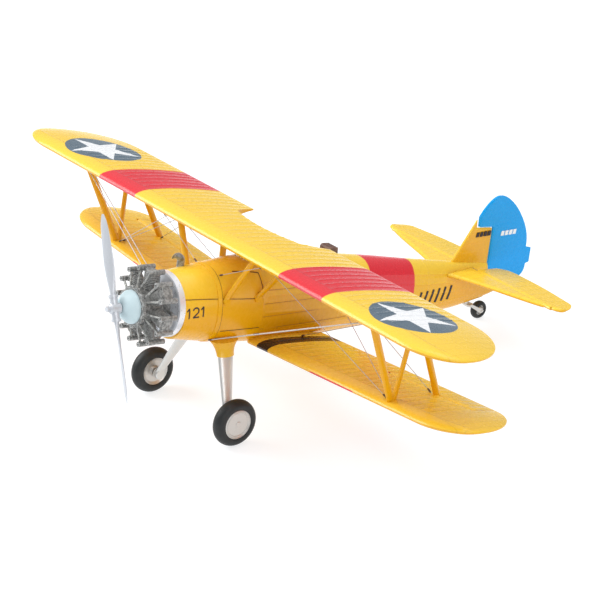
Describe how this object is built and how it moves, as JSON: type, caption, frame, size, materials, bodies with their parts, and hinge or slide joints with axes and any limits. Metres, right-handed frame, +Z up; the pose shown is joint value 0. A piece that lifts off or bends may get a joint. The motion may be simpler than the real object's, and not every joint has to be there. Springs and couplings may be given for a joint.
{
  "type": "biplane scale model",
  "caption": "Scale model of a two-seat open-cockpit biplane with a radial engine, standing on its wheels, with turning propeller, wheels and control surfaces.",
  "frame": {"origin": "on the ground, under the middle of the model's overall box", "axes": "+X to the model's left (port) wing tip, -Y the way the nose points, +Z up; the model stands nose-up on three wheels"},
  "size_m": [0.204, 0.1613, 0.0655],
  "materials": {
    "yellow_paint": "satin chrome-yellow enamel over cast metal",
    "blue_paint": "satin sky-blue enamel",
    "engine_grey": "pewter grey with lighter worn edges",
    "dome_grey": "smooth pale blue-grey enamel",
    "silver_paint": "bright silver enamel",
    "wheel_metal": "dull metallic",
    "bright_steel": "turned steel",
    "rigging_wire": "drawn wire",
    "black_tyre": "matt black",
    "brown_leather": "brown, painted to look like leather",
    "cockpit_green": "dull interior green",
    "dark_fittings": "matt black",
    "clear_screen": "clear"
  },
  "bodies": {
    "airframe": {"front_cowl": "yellow_paint", "fuselage_left": "yellow_paint", "fuselage_right": "yellow_paint", "upper_wing": "yellow_paint", "lower_wing_left": "yellow_paint", "lower_wing_right": "yellow_paint", "interplane_struts_left": "yellow_paint", "interplane_struts_right": "yellow_paint", "cabane_struts_left": "yellow_paint", "cabane_struts_right": "yellow_paint", "gear_fairing_left": "yellow_paint", "gear_fairing_right": "yellow_paint", "fin": "yellow_paint", "tailplane": "yellow_paint", "crankcase": "engine_grey", "intake_pipes": "engine_grey", "pushrod_tubes": "engine_grey", "air_scoop": "engine_grey", "cylinder_1": "engine_grey", "cylinder_2": "engine_grey", "cylinder_3": "engine_grey", "cylinder_4": "engine_grey", "cylinder_5": "engine_grey", "cylinder_6": "engine_grey", "cylinder_7": "engine_grey", "nose_dome": "dome_grey", "engine_backing_ring": "silver_paint", "gear_leg_left": "silver_paint", "gear_leg_right": "silver_paint", "wheel_axle_left": "bright_steel", "wheel_axle_right": "bright_steel", "rudder_hinge_pin": "bright_steel", "aileron_hinge_pins": "bright_steel", "rigging_left": "rigging_wire", "rigging_right": "rigging_wire", "cockpit_coamings": "brown_leather", "headrest": "brown_leather", "cockpit_floor": "cockpit_green", "front_seat": "cockpit_green", "rear_seat": "cockpit_green", "instrument_panels": "dark_fittings", "control_sticks": "dark_fittings", "front_windscreen": "clear_screen", "rear_windscreen": "clear_screen"},
    "propeller": {"propeller_hub": "silver_paint", "propeller_blades": "silver_paint", "propeller_shaft": "bright_steel"},
    "wheel_left": {"wheel_left": "wheel_metal", "tyre_left": "black_tyre"},
    "wheel_right": {"wheel_right": "wheel_metal", "tyre_right": "black_tyre"},
    "tail_fork": {"tail_wheel_fork": "silver_paint"},
    "tail_wheel": {"tail_wheel_hub": "wheel_metal", "tail_wheel_tyre": "black_tyre"},
    "rudder": {"rudder": "blue_paint"},
    "elevators": {"elevator_left": "yellow_paint", "elevator_right": "yellow_paint", "elevator_bar": "bright_steel"},
    "aileron_left": {"aileron_left": "yellow_paint"},
    "aileron_right": {"aileron_right": "yellow_paint"}
  },
  "joints": [
    {"name": "propeller_spin", "type": "hinge", "parent": "airframe", "child": "propeller", "pos_m": [0, -0.07599, 0.04214], "axis": [0, 0.9816, -0.1908], "continuous": true},
    {"name": "wheel_left_spin", "type": "hinge", "parent": "airframe", "child": "wheel_left", "pos_m": [0.0207, -0.05053, 0.007], "axis": [1, 0, 0], "continuous": true},
    {"name": "wheel_right_spin", "type": "hinge", "parent": "airframe", "child": "wheel_right", "pos_m": [-0.0207, -0.05053, 0.007], "axis": [1, 0, 0], "continuous": true},
    {"name": "tail_fork_swivel", "type": "hinge", "parent": "airframe", "child": "tail_fork", "pos_m": [0, 0.0544, 0.00705], "axis": [0, 0, 1], "range_deg": [-60, 60]},
    {"name": "tail_wheel_spin", "type": "hinge", "parent": "tail_fork", "child": "tail_wheel", "pos_m": [0, 0.05937, 0.0029], "axis": [1, 0, 0], "continuous": true},
    {"name": "rudder_turn", "type": "hinge", "parent": "airframe", "child": "rudder", "pos_m": [0, 0.06334, 0.02256], "axis": [0, 0.1392, 0.9903], "range_deg": [-30, 30]},
    {"name": "elevator_turn", "type": "hinge", "parent": "airframe", "child": "elevators", "pos_m": [0, 0.05482, 0.01871], "axis": [1, 0, 0], "range_deg": [-22, 28]},
    {"name": "aileron_left_turn", "type": "hinge", "parent": "airframe", "child": "aileron_left", "pos_m": [0.046, -0.01459, 0.02147], "axis": [0.9971, 0.0107, 0.076], "range_deg": [-20, 20]},
    {"name": "aileron_right_turn", "type": "hinge", "parent": "airframe", "child": "aileron_right", "pos_m": [-0.046, -0.01459, 0.02147], "axis": [0.9971, -0.0107, -0.076], "range_deg": [-20, 20]}
  ]
}
